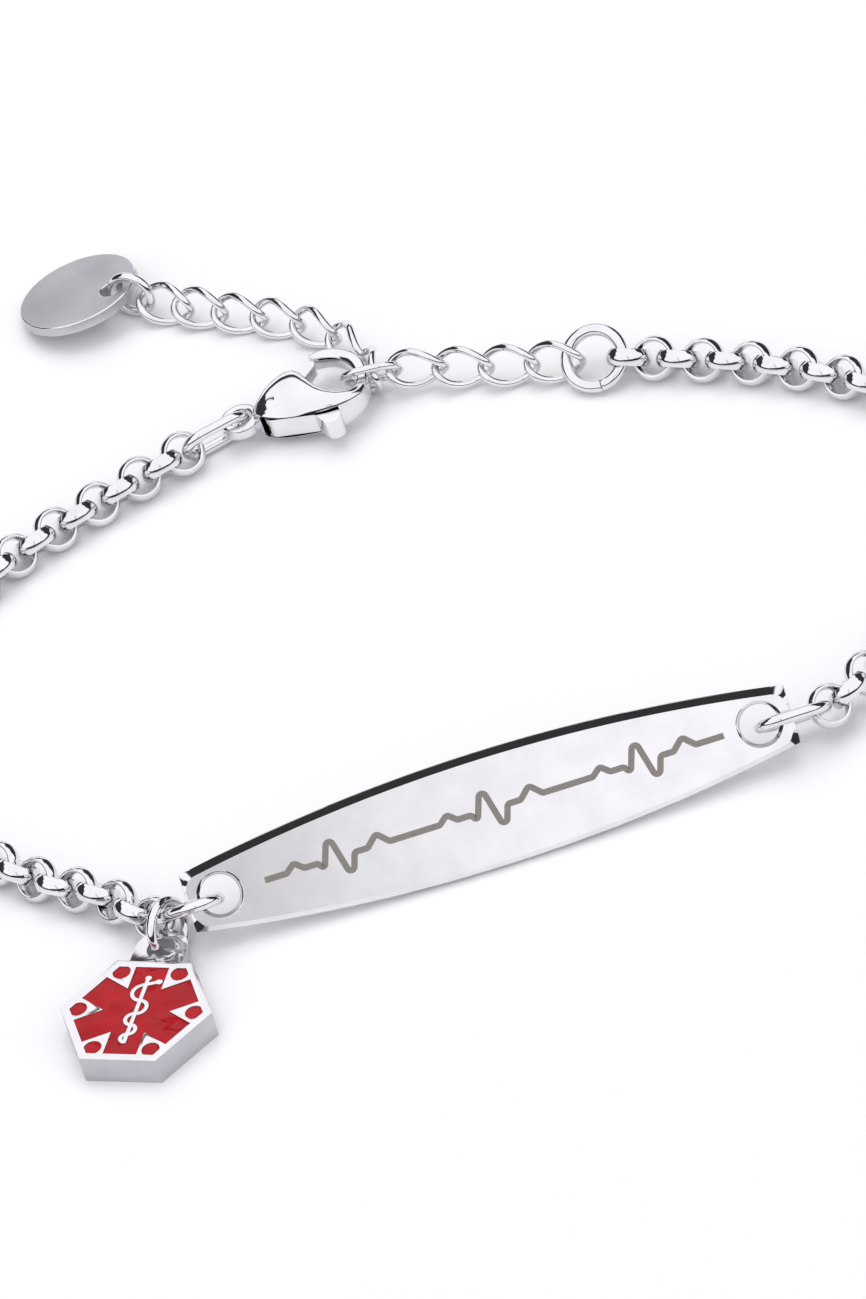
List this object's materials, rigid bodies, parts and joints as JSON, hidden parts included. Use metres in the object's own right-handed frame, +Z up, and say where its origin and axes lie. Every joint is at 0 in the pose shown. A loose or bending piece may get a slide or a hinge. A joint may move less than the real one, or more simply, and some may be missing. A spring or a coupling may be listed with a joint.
{
  "type": "medical alert bracelet",
  "caption": "Polished lens-shaped identity plate on belcher chains with a lobster clasp, an extension chain, a round tag and a hexagonal enamel charm.",
  "frame": {"origin": "middle of the laid-out bracelet's footprint, on the surface it lies on", "axes": "+X to the right of someone who reads the plate, +Y from the plate towards the clasp, +Z up from the surface"},
  "size_m": [0.0764, 0.0802, 0.0063],
  "materials": {
    "polished_steel": "mirror-polished stainless steel",
    "satin_steel": "satin stainless steel",
    "red_enamel": "glossy red enamel"
  },
  "bodies": {
    "bracelet": {"id_plate": "polished_steel", "plate_link_left": "polished_steel", "plate_link_right": "polished_steel", "rolo_chain_left": "polished_steel", "rolo_chain_right": "polished_steel", "end_ring": "polished_steel", "extension_chain": "polished_steel", "tail_chain": "polished_steel", "clasp_body": "polished_steel", "clasp_pin": "polished_steel", "clasp_link": "polished_steel", "charm_body": "polished_steel", "charm_enamel": "red_enamel", "charm_ring": "polished_steel", "tag_disc": "satin_steel", "tag_ring": "polished_steel"},
    "lever": {"clasp_lever": "polished_steel"}
  },
  "joints": [
    {"name": "lever_hinge", "type": "hinge", "parent": "bracelet", "child": "lever", "pos_m": [-0.00604, 0.01797, 0.00166], "axis": [0.0497, -0.0092, -0.9987], "range_deg": [0, 18]}
  ]
}
